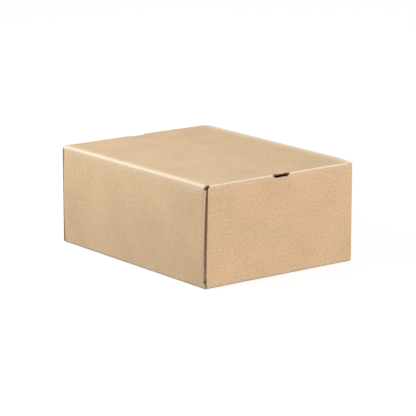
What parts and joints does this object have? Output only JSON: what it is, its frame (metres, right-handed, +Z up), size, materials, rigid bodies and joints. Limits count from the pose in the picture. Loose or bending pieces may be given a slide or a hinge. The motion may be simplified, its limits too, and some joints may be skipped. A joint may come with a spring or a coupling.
{
  "type": "tuck-end corrugated cardboard carton",
  "caption": "Closed plain kraft corrugated carton, lying flat, with a tuck flap at each end that hinges at the bottom edge and a thumb notch to pull it open.",
  "frame": {"origin": "middle of the underside, on the surface that the carton stands on", "axes": "+Z up, +Y along the length towards the back flap, +X across the width; the front flap faces -Y"},
  "size_m": [0.304, 0.4, 0.168],
  "materials": {
    "kraft_board": "matt unbleached kraft liner",
    "kraft_flap": "matt unbleached kraft liner"
  },
  "bodies": {
    "carton": {"carton_body": "kraft_board"},
    "front_flap": {"front_flap": "kraft_flap"},
    "back_flap": {"back_flap": "kraft_flap"}
  },
  "joints": [
    {"name": "front_flap_hinge", "type": "hinge", "parent": "carton", "child": "front_flap", "pos_m": [0, -0.19868, 0.00132], "axis": [1, 0, 0], "range_deg": [0, 90]},
    {"name": "back_flap_hinge", "type": "hinge", "parent": "carton", "child": "back_flap", "pos_m": [0, 0.19868, 0.00132], "axis": [-1, 0, 0], "range_deg": [0, 90]}
  ]
}
